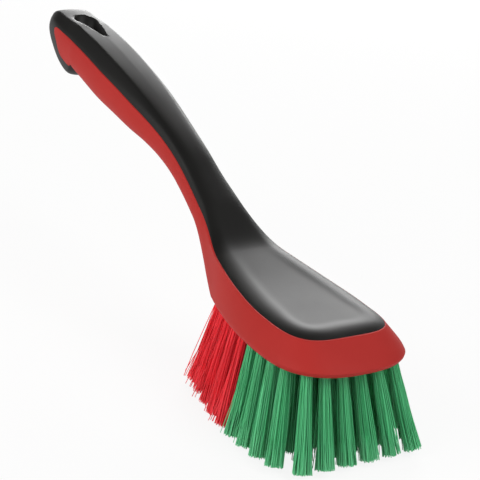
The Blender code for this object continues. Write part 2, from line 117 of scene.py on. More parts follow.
camera_data = bpy.data.cameras.new("camera")
camera_data.sensor_width = SENSOR_WIDTH_MM
camera_data.lens = LENS_MM
camera = bpy.data.objects.new("camera", camera_data)
bpy.context.scene.collection.objects.link(camera)
directions = Matrix((CAMERA_RIGHT, CAMERA_UP, CAMERA_RIGHT.cross(CAMERA_UP)))
camera.matrix_world = directions.transposed().to_4x4()
camera.location = CAMERA_FROM_BLOCK + PLACE
bpy.context.scene.camera = camera
print("camera at", [round(number, 4) for number in camera.location])

# %% [markdown]
# ## A helper for materials
# Materials are graphs of nodes. One small function adds a node, applies its settings and links its
# inputs, so that each material reads as a list of its own steps. Colours are written as the hex value
# that a screen shows, and one function turns them into the linear numbers that Blender computes with.


# %% Node and colour helpers
def linear(code):
    """Linear red, green, blue and alpha from a hex colour, by the sRGB curve."""
    channels = [int(code[start : start + 2], 16) / 255 for start in (1, 3, 5)]
    return [c / 12.92 if c <= 0.04045 else ((c + 0.055) / 1.055) ** 2.4 for c in channels] + [1]


def add(tree, kind, settings=None, **links):
    """Add a node, set its properties and inputs, and link inputs to other nodes' outputs.

    An input goes by its label or by its number, which is 6 in the settings and i6 among the links.
    """
    node = tree.nodes.new(kind)
    for name, value in (settings or {}).items():
        if isinstance(name, int) or name in node.inputs:
            node.inputs[name].default_value = value
        else:
            setattr(node, name, value)
    for name, output in links.items():
        numbered = name[0] == "i" and name[1:].isdigit()
        tree.links.new(output, node.inputs[int(name[1:]) if numbered else name])
    return node


def new_material(name):
    """An empty material with its node tree and its output node."""
    surface = bpy.data.materials.new(name)
    surface.use_nodes = True
    surface.node_tree.nodes.clear()
    return surface, surface.node_tree, surface.node_tree.nodes.new("ShaderNodeOutputMaterial")


print("red as linear numbers:", [round(number, 3) for number in linear("#B7312C")])

# %% [markdown]
# ## Floor and backdrop
# A product photograph like this one is taken on a pale sweep and cut out on white. The floor here is a
# plain sheet that catches the shadow of the brush. Light Path tells a shader which ray is asking, so
# the sheet can glow where it is seen and be plain paper where it is lit.


# %% Rays that see
def seen_directly(tree, mirrored=None):
    """1 for rays of the camera, of reflections and of glass, and 0 for rays that only carry light.

    Where mirrored is given, a reflection gets only that share.
    """
    ray = add(tree, "ShaderNodeLightPath").outputs
    glossy = ray["Is Glossy Ray"]
    if mirrored is not None:
        product = add(tree, "ShaderNodeMath", {"operation": "MULTIPLY"}, i0=glossy, i1=mirrored)
        glossy = product.outputs[0]
    seen = ray["Is Camera Ray"]
    for other in (glossy, ray["Is Transmission Ray"]):
        seen = add(tree, "ShaderNodeMath", {"operation": "MAXIMUM"}, i0=seen, i1=other).outputs[0]
    return seen


print("the backdrop glows for camera, glossy and transmission rays")

# %% Floor
FLOOR_HALF_SIDE = 3
FLOOR_SEGMENTS = 8
FLOOR_GLOW_SHARE = 0.88

floor_shape = bmesh.new()
bmesh.ops.create_grid(
    floor_shape, x_segments=FLOOR_SEGMENTS, y_segments=FLOOR_SEGMENTS, size=FLOOR_HALF_SIDE
)
floor_mesh = bpy.data.meshes.new("floor")
floor_shape.to_mesh(floor_mesh)
floor_shape.free()
floor = bpy.data.objects.new("floor", floor_mesh)
bpy.context.scene.collection.objects.link(floor)

paper, tree, output = new_material("pale_paper_sweep")
sheet = add(tree, "ShaderNodeBsdfDiffuse", {"Color": linear("#EFEFEE")})
glow = add(tree, "ShaderNodeEmission", {"Color": linear("#FFFFFF"), "Strength": 1.0})
share = add(
    tree, "ShaderNodeMath", {"operation": "MULTIPLY", 1: FLOOR_GLOW_SHARE}, i0=seen_directly(tree)
)
mixed = add(
    tree, "ShaderNodeMixShader", None,
    Fac=share.outputs[0], i1=sheet.outputs[0], i2=glow.outputs[0],
)
tree.links.new(mixed.outputs[0], output.inputs["Surface"])
floor_mesh.materials.append(paper)
print("floor is", 2 * FLOOR_HALF_SIDE, "m wide")

# %% [markdown]
# ## World
# The world is white where the camera sees it. A reflection finds it white only near the horizon, as a
# sweep is at its far end, and dim higher up, which keeps the black grip dark where it faces upwards.
# As light it is a weak grey that fills the shadows. A direction's height goes from 0 at the horizon
# to 1 overhead.

# %% World
GLOW_FULL_BELOW = 0.10
GLOW_GONE_ABOVE = 0.30
FILL_STRENGTH = 0.23

world = bpy.data.worlds.new("studio")
bpy.context.scene.world = world
world.use_nodes = True
tree = world.node_tree
tree.nodes.clear()
direction = add(tree, "ShaderNodeTexCoord").outputs["Generated"]
height = add(tree, "ShaderNodeSeparateXYZ", None, Vector=direction).outputs["Z"]
low = add(
    tree, "ShaderNodeMapRange",
    {
        "From Min": GLOW_FULL_BELOW, "From Max": GLOW_GONE_ABOVE, "To Min": 1.0, "To Max": 0.0,
        "interpolation_type": "SMOOTHSTEP",
    },
    Value=height,
)
lit = add(tree, "ShaderNodeBackground", {"Color": linear("#FFFFFF"), "Strength": FILL_STRENGTH})
white = add(tree, "ShaderNodeBackground", {"Color": linear("#FFFFFF"), "Strength": 1.0})
mixed = add(
    tree, "ShaderNodeMixShader", None,
    Fac=seen_directly(tree, low.outputs[0]), i1=lit.outputs[0], i2=white.outputs[0],
)
add(tree, "ShaderNodeOutputWorld", None, Surface=mixed.outputs[0])
print("world ready, fill strength", FILL_STRENGTH)

# %% [markdown]
# ## Lamps
# The black grip shows where the light comes from: its pad and the top of the handle's end are grey
# with the reflection of something broad, bright and low behind the brush, and its neck is dark. So one
# large soft lamp stands low behind, a second shines down from the camera's right, and the widest
# lights the near side, where the red fascia is evenly lit.

# %% Lamps
LAMP_TARGET = Vector((0, 0, 0.06))
SOFTBOXES = (
    ("back_softbox", (-1.38, 1.15, 0.76), 1.1, 0.9, 23),
    ("right_softbox", (0.95, 0.35, 1.15), 0.9, 0.9, 10),
    ("near_softbox", (0.02, -1.45, 0.83), 1.5, 1.1, 17),
)
for name, place, wide, high, watts in SOFTBOXES:
    data = bpy.data.lights.new(name, "AREA")
    data.shape = "RECTANGLE"
    data.size = wide
    data.size_y = high
    data.energy = watts
    lamp = bpy.data.objects.new(name, data)
    bpy.context.scene.collection.objects.link(lamp)
    lamp.rotation_euler = (LAMP_TARGET - Vector(place)).to_track_quat("-Z", "Y").to_euler()
    lamp.location = place

# %% [markdown]
# ## Smooth curves from a few measured stations
# The outline of this moulded handle is known at eleven sections, and everything between has to run
# smoothly. A Catmull-Rom curve passes exactly through its stations, so a measured number stays true,
# which a subdivision surface over the same points doesn't promise.


# %% Curve helpers
def through(stations, at):
    """Read the smooth curve through numbered stations at a station number."""
    last = len(stations) - 1
    first = min(int(at), last - 1)
    part = at - first
    near = [stations[min(max(first + step, 0), last)] for step in (-1, 0, 1, 2)]
    return [
        (
            2 * b
            + (c - a) * part
            + (2 * a - 5 * b + 4 * c - d) * part**2
            + (3 * b - a - 3 * c + d) * part**3
        )
        / 2
        for a, b, c, d in zip(*near)
    ]


def superellipse(share, roundness):
    """Height of a unit superellipse at a share of its half width."""
    return max(0, 1 - abs(share) ** roundness) ** (1 / roundness)


def mix(start, end, share):
    """Go a share of the way from one value to another."""
    return start + (end - start) * share


print("halfway up a rounded square:", round(superellipse(0.9, 2.4), 3))

# %% [markdown]
# ## Counts of rows
# The CAD model uses the fewest rows that hold its form. Here the same formulas run with three times as
# many, so that highlights glide over the surface without kinks. The shares across are closer together
# near the parting line between red and black, where the form turns fastest.

# %% Rows across and along
HALF_SHARES = (
    0.07, 0.14, 0.21, 0.28, 0.35, 0.42, 0.49, 0.55, 0.60, 0.64, 0.69, 0.75, 0.81, 0.87, 0.92, 0.96, 1,
)
COLUMN_SHARES = tuple(-share for share in reversed(HALF_SHARES)) + (0,) + HALF_SHARES
CAP_SHARES = HALF_SHARES[1:]
LEVELS = 12
TIP_ROWS = 12
HANDLE_ROWS = 44
NECK_ROWS = 24
BODY_ROWS = 14
WIDTH_STEPS = len(COLUMN_SHARES) - 1
ROWS_ALONG = TIP_ROWS + HANDLE_ROWS + NECK_ROWS + BODY_ROWS + len(CAP_SHARES)
print("rows across:", WIDTH_STEPS, "along:", ROWS_ALONG)

# %% [markdown]
# ## Section of the handle
# A hand closes round an oval, so the handle's section is a superellipse: rounder than a box, squarer
# than an ellipse. A spine gives its centre, its slope and its size at each station. The part above the
# parting line belongs to the grip, and two soft creases along it fade out towards the neck.

# %% Sizes of the handle
HANDLE_RISE = 0.0830
HANDLE_HALF_WIDTH = 0.0162
HANDLE_HALF_DEPTH = 0.0140
HANDLE_SHARES = (
    (1.000, 1.000, 0.99, 0.84),
    (0.916, 0.963, 1.00, 0.91),
    (0.835, 0.910, 1.00, 0.98),
    (0.760, 0.855, 1.00, 1.00),
    (0.688, 0.805, 0.95, 0.95),
    (0.620, 0.752, 0.88, 0.88),
    (0.556, 0.701, 0.77, 0.77),
    (0.494, 0.641, 0.69, 0.69),
    (0.435, 0.570, 0.67, 0.64),
    (0.379, 0.483, 0.69, 0.62),
    (0.324, 0.398, 0.77, 0.61),
)
STATION_STEP_SHARE = 0.05
HANDLE_ROUNDNESS = 2.4
PARTING_SHARE = 0.46
PARTING_WIDTH_SHARE = 0.905
NIB_STATION = 1.35
END_HALF_WIDTH = 0.0144
END_LOWER_TURN = acos((END_HALF_WIDTH / HANDLE_HALF_WIDTH) ** (HANDLE_ROUNDNESS / 2))
NECK_LOWER_TURN = 0.37 * pi
TOP_ROUNDNESS = 2.8
CREASE_SHARE = 0.62
CREASE_LIFT_SHARE = 0.94
CREASE_SHARPNESS_SHARES = (0.75, 0.75, 0.75, 0.70, 0.55, 0.40, 0.20, 0.05, 0.0, 0.0, 0.0)
GRIP_WALL = 0.0026
END_WALL = 0.0034
print("handle is", round(2000 * HANDLE_HALF_WIDTH, 1), "mm wide,", len(HANDLE_SHARES), "stations")


# %% Handle section
def spine(at):
    """Centre, normal, half width and half depth of the handle's section at a station."""
    x, z, width, depth = through(HANDLE_SHARES, at)
    before = through(HANDLE_SHARES, max(at - STATION_STEP_SHARE, 0))
    ahead = through(HANDLE_SHARES, min(at + STATION_STEP_SHARE, len(HANDLE_SHARES) - 1))
    run = (before[0] - ahead[0]) * HANDLE_REACH
    fall = (ahead[1] - before[1]) * HANDLE_RISE
    along = hypot(run, fall)
    centre = Vector((-x * HANDLE_REACH, 0, z * HANDLE_RISE))
    normal = Vector((-fall / along, 0, run / along))
    return centre, normal, width * HANDLE_HALF_WIDTH, depth * HANDLE_HALF_DEPTH


def top_shape(share, sharpness):
    """Height across the top, from 0 at the parting line to 1: a round bent towards two creases."""
    across = abs(share)
    rounded = superellipse(across, TOP_ROUNDNESS)
    if across > CREASE_SHARE:
        folded = CREASE_LIFT_SHARE * (1 - across) / (1 - CREASE_SHARE)
    else:
        folded = 1 - (1 - CREASE_LIFT_SHARE) * across / CREASE_SHARE
    return mix(rounded, folded, sharpness)


# A row starts with six numbers: the foot's x and z, tilt, half width, angle of the edge, wall
LEAD = 6
TILT_AT = 2
EDGE_AT = 4
TOPS_END = LEAD + len(COLUMN_SHARES)


def row(foot, tilt, half, rises, edge, wall, sides=(), bottom=()):
    """One row of the body as a flat list of numbers, so that rows can be blended."""
    numbers = [foot[0], foot[2], tilt, half, edge, wall] + list(rises)
    for point in list(sides) + list(bottom):
        numbers += list(point)
    return numbers


def handle_row(at):
    """A row of the handle: its top over the parting line, its two sides and its belly."""
    centre, normal, width, depth = spine(at)
    sharpness = through([(share,) for share in CREASE_SHARPNESS_SHARES], at)[0]
    foot = centre + normal * depth * PARTING_SHARE
    rises = [depth * (1 - PARTING_SHARE) * top_shape(share, sharpness) for share in COLUMN_SHARES]
    last = len(HANDLE_SHARES) - 1
    spread = (at - NIB_STATION) / (last - NIB_STATION)
    upper = acos(PARTING_WIDTH_SHARE ** (HANDLE_ROUNDNESS / 2))
    lower = -mix(END_LOWER_TURN, NECK_LOWER_TURN, spread)

    def around(angle):
        """A point of the section at an angle from the side, up to the grip or down to the belly."""
        power = 2 / HANDLE_ROUNDNESS
        out = width * cos(angle) ** power
        lift = depth * abs(sin(angle)) ** power
        return centre + normal * (lift if angle > 0 else -lift) - Vector((0, out, 0))

    sides = [around(mix(upper, lower, level / LEVELS)) for level in range(1, LEVELS)]
    edge = -around(lower).y
    bottom = []
    for share in COLUMN_SHARES:
        drop = depth * superellipse(share * edge / width, HANDLE_ROUNDNESS)
        bottom.append(centre - normal * drop + Vector((0, share * edge, 0)))
    tilt = atan2(normal.x, normal.z)
    return row(foot, tilt, width * PARTING_WIDTH_SHARE, rises, 0, GRIP_WALL, sides, bottom)


print("numbers in one row:", len(handle_row(3)))

# %% [markdown]
# ## Head: pad, fascia and base
# The head is a block with a rounded front. Its pad has a rolled shoulder round a shallow dish for the
# thumb. The red fascia slopes out from the pad to the base and ends in a small rounding. Both outlines
# are superellipses in plan, which give the squarish front corners of the real moulding.

# %% Sizes of the head
PAD_REAR = -0.0400
PAD_CENTRE = 0.0095
PAD_FRONT_RUN = 0.0330
PAD_HALF_WIDTH = 0.0279
PAD_TAPER = 0.0094
PAD_TAPER_RUN = 0.0548
PAD_TAPER_POWER = 1.5
PAD_SQUARENESS = 3.9
PAD_FRONT_HEIGHT = 0.0128
PAD_REAR_LIFT = 0.0089
PAD_RUN = 0.0878
SHOULDER_RISE = 0.0025
SHOULDER_WIDTH = 0.0086
DISH_DEPTH = 0.0003
DISH_RUN = 0.0050
DISH_AT_REAR = 0.2
DISH_GROWTH = 1.6
BASE_REAR = -0.0410
BASE_CENTRE = 0.0257
BASE_FRONT_RUN = 0.0305
BASE_HALF_WIDTH = 0.0350
BASE_TAPER = 0.0130
BASE_TAPER_RUN = 0.0628
BASE_TAPER_POWER = 1.8
BASE_SQUARENESS = 2.5
BASE_ROUND = 0.0027
FASCIA_TURNS = 4
FASCIA_STATIONS = ((0, 1), (0.45, 0.62), (0.83, 0.25), (1, 0))
print("pad is", round(2000 * PAD_HALF_WIDTH, 1), "mm wide, base", round(2000 * BASE_HALF_WIDTH, 1), "mm")


# %% Outlines of the head
def pad_half_width(x):
    """Half the pad's width at a place along the head, narrower towards the neck."""
    return PAD_HALF_WIDTH - PAD_TAPER * (max(PAD_CENTRE - x, 0) / PAD_TAPER_RUN) ** PAD_TAPER_POWER


def base_half_width(x):
    """Half the base's width at a place along the head."""
    return BASE_HALF_WIDTH - BASE_TAPER * (max(BASE_CENTRE - x, 0) / BASE_TAPER_RUN) ** BASE_TAPER_POWER


def parting_height(x):
    """Height of the line between pad and fascia, which climbs towards the neck."""
    return PAD_FRONT_HEIGHT + PAD_REAR_LIFT * ((PAD_CENTRE + PAD_FRONT_RUN - x) / PAD_RUN) ** 2


def pad_rise(inward, dish=1):
    """Height of the pad over its parting line, at a distance in from that line."""
    shoulder = SHOULDER_RISE * (1 - (1 - min(inward / SHOULDER_WIDTH, 1)) ** 2)
    hollow = min(max((inward - SHOULDER_WIDTH) / DISH_RUN, 0), 1)
    return shoulder - dish * DISH_DEPTH * hollow**2 * (3 - 2 * hollow)


print("parting line at the pad's rear is", round(1000 * parting_height(PAD_REAR), 1), "mm high")


# %% Head section
def fascia(top):
    """Points down the fascia from the parting line, as (way out, height, inset of the base)."""
    steps = []
    for step in range(1, LEVELS - FASCIA_TURNS):
        share = step / (LEVELS - FASCIA_TURNS)
        out, lift = through(FASCIA_STATIONS, (len(FASCIA_STATIONS) - 1) * share)
        steps.append((out, mix(BASE_ROUND, top, lift), 0))
    for turn in range(FASCIA_TURNS + 1):
        angle = pi / 2 * turn / FASCIA_TURNS
        steps.append((1, BASE_ROUND * (1 - sin(angle)), BASE_ROUND * (1 - cos(angle))))
    return steps


def body_row(share):
    """A row across the straight part of the head, at a share of the way to its rounded front."""
    x = mix(PAD_REAR, PAD_CENTRE, share)
    base_x = mix(BASE_REAR, BASE_CENTRE, share)
    half = pad_half_width(x)
    height = parting_height(x)
    dish = min(1, DISH_AT_REAR + DISH_GROWTH * share)
    rises = [pad_rise((1 - abs(place)) * half, dish) for place in COLUMN_SHARES]
    sides = []
    for out, lift, inset in fascia(height):
        belt = base_half_width(base_x) - inset
        sides.append(Vector((mix(x, base_x, out), -mix(half, belt, out), lift)))
    flat = -sides.pop().y
    bottom = [Vector((base_x, place * flat, 0)) for place in COLUMN_SHARES]
    return row(Vector((x, 0, height)), 0, half, rises, pi / 2, GRIP_WALL, sides, bottom)


print("points down the fascia:", len(fascia(PAD_FRONT_HEIGHT)))

# %% [markdown]
# ## Neck and end
# The neck has no stations of its own. Each of its rows is blended between the last row of the handle
# and the first of the head, and leaves each along its own slope, as a fillet does. Round the end of
# the handle the grip turns down and back under as a nib. Its rows swing like the pages of a book.


# %% Neck rows
def neck_rows(before, last, first, after):
    """Blend the handle into the head.

    A point leaves along the handle's lines. Near the top it arrives along the head's, and the lower
    it is, the straighter it arrives. Tilt, edge and the rises of the top only ease over.
    """
    reach = hypot(first[0] - last[0], first[1] - last[1])
    leave = reach / hypot(last[0] - before[0], last[1] - before[1])
    arrive = reach / hypot(after[0] - first[0], after[1] - first[1])
    rows = []
    for step in range(1, NECK_ROWS):
        t = step / NECK_ROWS
        blend = []
        for n in range(len(last)):
            low = min(max((n - TOPS_END) / (3 * LEVELS), 0), 1)
            start = (last[n] - before[n]) * leave
            end = mix((after[n] - first[n]) * arrive, first[n] - last[n], low)
            if n in (TILT_AT, EDGE_AT) or LEAD <= n < TOPS_END:
                start = end = 0
            blend.append(
                last[n] * (2 * t**3 - 3 * t**2 + 1)
                + start * (t**3 - 2 * t**2 + t)
                + first[n] * (3 * t**2 - 2 * t**3)
                + end * (t**3 - t**2)
            )
        rows.append(blend)
    return rows


def body_rows():
    """Every row from the nib's section forward to the start of the head's rounded front."""
    last = len(HANDLE_SHARES) - 1
    handle = [handle_row(mix(NIB_STATION, last, step / HANDLE_ROWS)) for step in range(HANDLE_ROWS + 1)]
    body = [body_row(step / BODY_ROWS) for step in range(BODY_ROWS + 1)]
    return handle + neck_rows(handle[-2], handle[-1], body[0], body[1]) + body


print("rows of the neck:", NECK_ROWS - 1)

# %% Stations round the handle's end
# Each holds the foot's place along and up, then the crown's, as shares of the end's length and depth
END_DEPTH = 0.0122
END_SHARES = (
    (0.88, -1.05, 0.76, -1.59),
    (0.70, -0.96, 0.56, -1.65),
    (0.48, -0.80, 0.21, -1.31),
    (0.33, -0.53, -0.08, -0.87),
    (0.27, -0.34, -0.24, -0.59),
    (0.20, -0.15, -0.38, -0.30),
    (0.12, 0.07, -0.503, 0.16),
    (0.10, 0.24, -0.512, 0.52),
    (0.13, 0.35, -0.43, 0.83),
    (0.21, 0.40, -0.21, 1.00),
    (0.37, 0.37, 0.14, 0.93),
    (0.62, 0.28, 0.52, 0.85),
    (0.83, 0.21, 0.88, 0.78),
)
print("stations round the end:", len(END_SHARES))


# %% Rows round the handle's end
def end_row(shares):
    """A row of the grip where it goes round the handle's end."""
    start = Vector((-HANDLE_REACH, 0, HANDLE_RISE))
    foot = start + Vector((shares[0] * END_LENGTH, 0, shares[1] * END_DEPTH))
    crown = start + Vector((shares[2] * END_LENGTH, 0, shares[3] * END_DEPTH))
    lift = crown - foot
    sharpness = CREASE_SHARPNESS_SHARES[0] * max(lift.normalized().z, 0)
    rises = [lift.length * top_shape(share, sharpness) for share in COLUMN_SHARES]
    return row(foot, atan2(lift.x, lift.z), END_HALF_WIDTH, rises, 0, END_WALL)


def nib_row(first):
    """The nib's last row, which lies on the belly of the handle's first section."""
    ends = [side_point(first, 0, column) for column in range(WIDTH_STEPS + 1)]
    foot = Vector((ends[0].x, 0, ends[0].z))
    lift = ends[WIDTH_STEPS // 2] - foot
    rises = [(point - foot).dot(lift.normalized()) for point in ends]
    return row(foot, atan2(lift.x, lift.z), ends[-1].y, rises, 0, END_WALL)


def side_point(numbers, level, column):
    """A point down the side of a row, level 0 at the bottom and LEVELS at the parting line."""
    start = TOPS_END
    if level == LEVELS:
        return top_point(numbers, column, "skin")
    if level == 0:
        start += 3 * (LEVELS - 1) + 3 * column
        return Vector(numbers[start : start + 3])
    start += 3 * (LEVELS - level - 1)
    x, y, z = numbers[start : start + 3]
    return Vector((x, y if column == 0 else -y, z))


print("numbers in a row of the end:", len(end_row(END_SHARES[0])))

# %% [markdown]
# ## Three layers
# The outside of the body is one surface. On it, the grip's outer layer stands in by the width of the
# red rim round the pad, and its underside lies one wall lower. On the head the wall stands straight
# up out of a groove. On the handle the grip runs out to the parting line at the side.

# %% Points of the layers
RIM = 0.0006
GAP = 0.00006
print("red rim round the pad:", 1000 * RIM, "mm, gap under the grip:", round(1000 * GAP, 2), "mm")


def top_point(numbers, column, layer):
    """A point of one layer on a row that runs straight across."""
    x, z, tilt, half, edge, wall = numbers[:LEAD]
    rises = numbers[LEAD:TOPS_END]
    depth = wall if layer == "inner" else 0
    share = COLUMN_SHARES[column]
    if abs(share) < 1:
        out = abs(share) * (half - depth * cos(edge))
        lift = rises[column] - depth * mix(rises[column] / max(rises), 1, sin(edge))
    else:
        stand_in = 0 if layer == "skin" else (RIM + GAP) * sin(edge)
        step_in = (1 - abs(COLUMN_SHARES[1])) * half
        out = half - stand_in - depth * cos(edge)
        lift = rises[1] * stand_in / step_in - depth * sin(edge)
    upward = Vector((sin(tilt), 0, cos(tilt)))
    return Vector((x, 0, z)) + upward * lift + Vector((0, -out if share < 0 else out, 0))


# %% Points of the rounded front
def cap_plan(across, along, centre, run, width, squareness):
    """Place a point of a unit square on a rounded outline, or the same share of the way in."""
    largest = max(abs(across), abs(along))
    if largest == 0:
        return Vector((centre, 0, 0))
    scale = largest / (abs(across) ** squareness + abs(along) ** squareness) ** (1 / squareness)
    return Vector((centre + run * along * scale, width * across * scale, 0))


def cap_point(forward, column, layer):
    """A point of one layer on the rounded front of the pad."""
    share = COLUMN_SHARES[column]
    edge = cap_plan(share, forward, PAD_CENTRE, PAD_FRONT_RUN, PAD_HALF_WIDTH, PAD_SQUARENESS)
    ring = max(abs(share), abs(forward))
    centre = Vector((PAD_CENTRE, 0, 0))
    radius = (edge - centre).length / ring
    rise = pad_rise((1 - ring) * radius)
    if ring == 1 and layer != "skin":
        step_in = (1 - abs(COLUMN_SHARES[1])) * radius
        rise = pad_rise(step_in) * (RIM + GAP) / step_in
        edge = mix(edge, centre, (RIM + GAP) / radius)
    edge.z = parting_height(edge.x) + rise - (GRIP_WALL if layer == "inner" else 0)
    return edge


def base_point(forward, share, inset):
    """A point on the base's outline at the rounded front, or a share of the way in."""
    run, width = BASE_FRONT_RUN - inset, BASE_HALF_WIDTH - inset
    return cap_plan(share, forward, BASE_CENTRE, run, width, BASE_SQUARENESS)


print("front of the pad at x =", round(cap_point(1, WIDTH_STEPS // 2, "skin").x, 4))

# %% All rows
# The path round the end has three stretches: under the nib, up the end's face, and over the top
FACE_START = 4
FACE_END = 10
ROWS = body_rows()
END_PATH = [nib_row(ROWS[0])] + [end_row(shares) for shares in END_SHARES] + [ROWS[0][:TOPS_END]]
PATH_END = len(END_PATH) - 1
LOW_STEPS = [FACE_START * step / TIP_ROWS for step in range(TIP_ROWS)]
FACE_STEPS = [FACE_START + (FACE_END - FACE_START) * step / LEVELS for step in range(LEVELS)]
HIGH_STEPS = [FACE_END + (PATH_END - FACE_END) * step / TIP_ROWS for step in range(TIP_ROWS)]
END_ROWS = [through(END_PATH, at) for at in (LOW_STEPS + FACE_STEPS + HIGH_STEPS)[1:]]
CAP_START = TIP_ROWS + len(ROWS)
LENGTH_STEPS = CAP_START + len(CAP_SHARES) - 1
SHEET_ROWS = [END_PATH[0]] + END_ROWS + ROWS
SHEET_STEPS = len(SHEET_ROWS) + len(CAP_SHARES) - 1
print("rows of the body:", LENGTH_STEPS + 1, "rows of the grip:", SHEET_STEPS + 1)

# %% [markdown]
# ## From a box of squares to the moulding
# A grid is extruded level by level into a box of square faces, and then every corner moves to its
# place on the moulding. The operators do the joining of faces, and the formulas only say where a
# corner belongs, so the surface is closed from the start and has no loose edges.


# %% Lattice
def lattice_box(lengths, widths, levels):
    """A closed box of square faces, with whole numbers for coordinates."""
    box = bmesh.new()
    bmesh.ops.create_grid(box, x_segments=lengths, y_segments=widths, size=0.5)
    for vertex in box.verts:
        vertex.co.x = round((vertex.co.x + 0.5) * lengths)
        vertex.co.y = round((vertex.co.y + 0.5) * widths)
    top = box.faces[:]
    for level in range(levels):
        lifted = bmesh.ops.extrude_face_region(box, geom=top)["geom"]
        corners = [item for item in lifted if isinstance(item, bmesh.types.BMVert)]
        bmesh.ops.translate(box, verts=corners, vec=(0, 0, 1))
        if level > 0:
            bmesh.ops.delete(box, geom=top, context="FACES")
        top = [item for item in lifted if isinstance(item, bmesh.types.BMFace)]
    return box


sample = lattice_box(2, 2, 2)
print("faces of a sample box:", len(sample.faces))
sample.free()


# %% From lattice to object
SHARP_TURN = pi / 5


def place_lattice(box, place):
    """Move every corner of the lattice to its place in the frame and turn the faces outwards."""
    for vertex in box.verts:
        vertex.co = place(*(round(number) for number in vertex.co)) + PLACE
    bmesh.ops.recalc_face_normals(box, faces=box.faces[:])


def add_object(name, shape, sharp=SHARP_TURN):
    """Turn a bmesh into a named object of the scene, smooth but for edges that turn sharply."""
    mesh = bpy.data.meshes.new(name)
    shape.to_mesh(mesh)
    shape.free()
    mesh.shade_smooth()
    mesh.set_sharp_from_angle(angle=sharp)
    thing = bpy.data.objects.new(name, mesh)
    bpy.context.scene.collection.objects.link(thing)
    return thing


print("edges sharper than", round(SHARP_TURN * 180 / pi), "degrees stay sharp")

# %% [markdown]
# ## The body
# The lattice has a corner at each whole step along, across and up. Where the steps reach the handle's
# end, the corners go over the end as the grip does. The flat side of the end is stretched between its
# four edges, as a film is over a bent wire frame.


# %% Body
def body_point(length, column, level):
    """Place one point of the box lattice on the outside of the whole body."""
    if length >= CAP_START:
        forward = CAP_SHARES[length - CAP_START]
        share = COLUMN_SHARES[column]
        if level == LEVELS:
            return cap_point(forward, column, "skin")
        if level == 0:
            return base_point(forward, share, BASE_ROUND)
        top = cap_point(forward, column, "skin")
        out, lift, inset = fascia(top.z)[LEVELS - level - 1]
        point = mix(top, base_point(forward, share, inset), out)
        point.z = lift
        return point
    if length >= TIP_ROWS:
        return side_point(ROWS[length - TIP_ROWS], level, column)
    if level == LEVELS:
        return top_point(END_ROWS[TIP_ROWS - 1 + LEVELS + length], column, "skin")
    if level == 0:
        return top_point(END_ROWS[TIP_ROWS - 1 - length], column, "skin")
    if length == 0:
        return top_point(END_ROWS[TIP_ROWS - 1 + level], column, "skin")
    u = length / TIP_ROWS
    v = level / LEVELS
    end_low = body_point(0, column, 0)
    end_high = body_point(0, column, LEVELS)
    near_low = body_point(TIP_ROWS, column, 0)
    near_high = body_point(TIP_ROWS, column, LEVELS)
    point = mix(body_point(0, column, level), body_point(TIP_ROWS, column, level), u)
    point += mix(body_point(length, column, 0), body_point(length, column, LEVELS), v)
    return point - mix(mix(end_low, near_low, u), mix(end_high, near_high, u), v)


def sheet_point(step, column, level):
    """Place one point of the grip: from the nib round the end and forward over the top."""
    layer = ("inner", "outer")[level]
    if step < len(SHEET_ROWS):
        return top_point(SHEET_ROWS[step], column, layer)
    return cap_point(CAP_SHARES[step - len(SHEET_ROWS)], column, layer)


body = lattice_box(LENGTH_STEPS, WIDTH_STEPS, LEVELS)
place_lattice(body, body_point)
print("faces of the body:", len(body.faces), "volume in ml:", round(body.calc_volume() * 1e6, 1))

# %% [markdown]
# ## The grip and its bed
# Soft rubber is injected over the finished core in a second mould, so the two meet without a step. The
# core gets a rebate in the shape of the grip, grown by a hair's breadth so that the surfaces don't
# touch, and pushed out past the body on its outer side so that nothing thin is left standing.

# %% Grip and its cutter
OVERRUN = 0.0030
skin = lattice_box(SHEET_STEPS, WIDTH_STEPS, 1)
skin.verts.index_update()
lattice = [tuple(round(number) for number in vertex.co) for vertex in skin.verts]
place_lattice(skin, sheet_point)

cutter = skin.copy()
cutter.normal_update()
grown = {}
for vertex in cutter.verts:
    grown[lattice[vertex.index]] = vertex.co + vertex.normal * vertex.calc_shell_factor() * GAP
for vertex in cutter.verts:
    step, column, level = lattice[vertex.index]
    place = grown[(step, column, level)]
    if level == 1:
        place = place + (place - grown[(step, column, 0)]).normalized() * OVERRUN
    vertex.co = place
print("faces of the grip:", len(skin.faces), "volume in ml:", round(skin.calc_volume() * 1e6, 1))

# %% [markdown]
# ## The hanging hole
# The hole is a teardrop: a round for the hook and a point where it comes to rest. The rubber lines it,
# so a slightly larger hole goes through the core and a sleeve joins the grip. Booleans do this best,
# because the hole crosses curved surfaces whose rows know nothing of it.

# %% Teardrop
HOLE_FROM_END = 0.0114
HOLE_RADIUS = 0.0064
HOLE_RUN = 0.0233
HOLE_POINT_RADIUS = 0.0017
HOLE_STEPS = 40
POINT_STEPS = 16


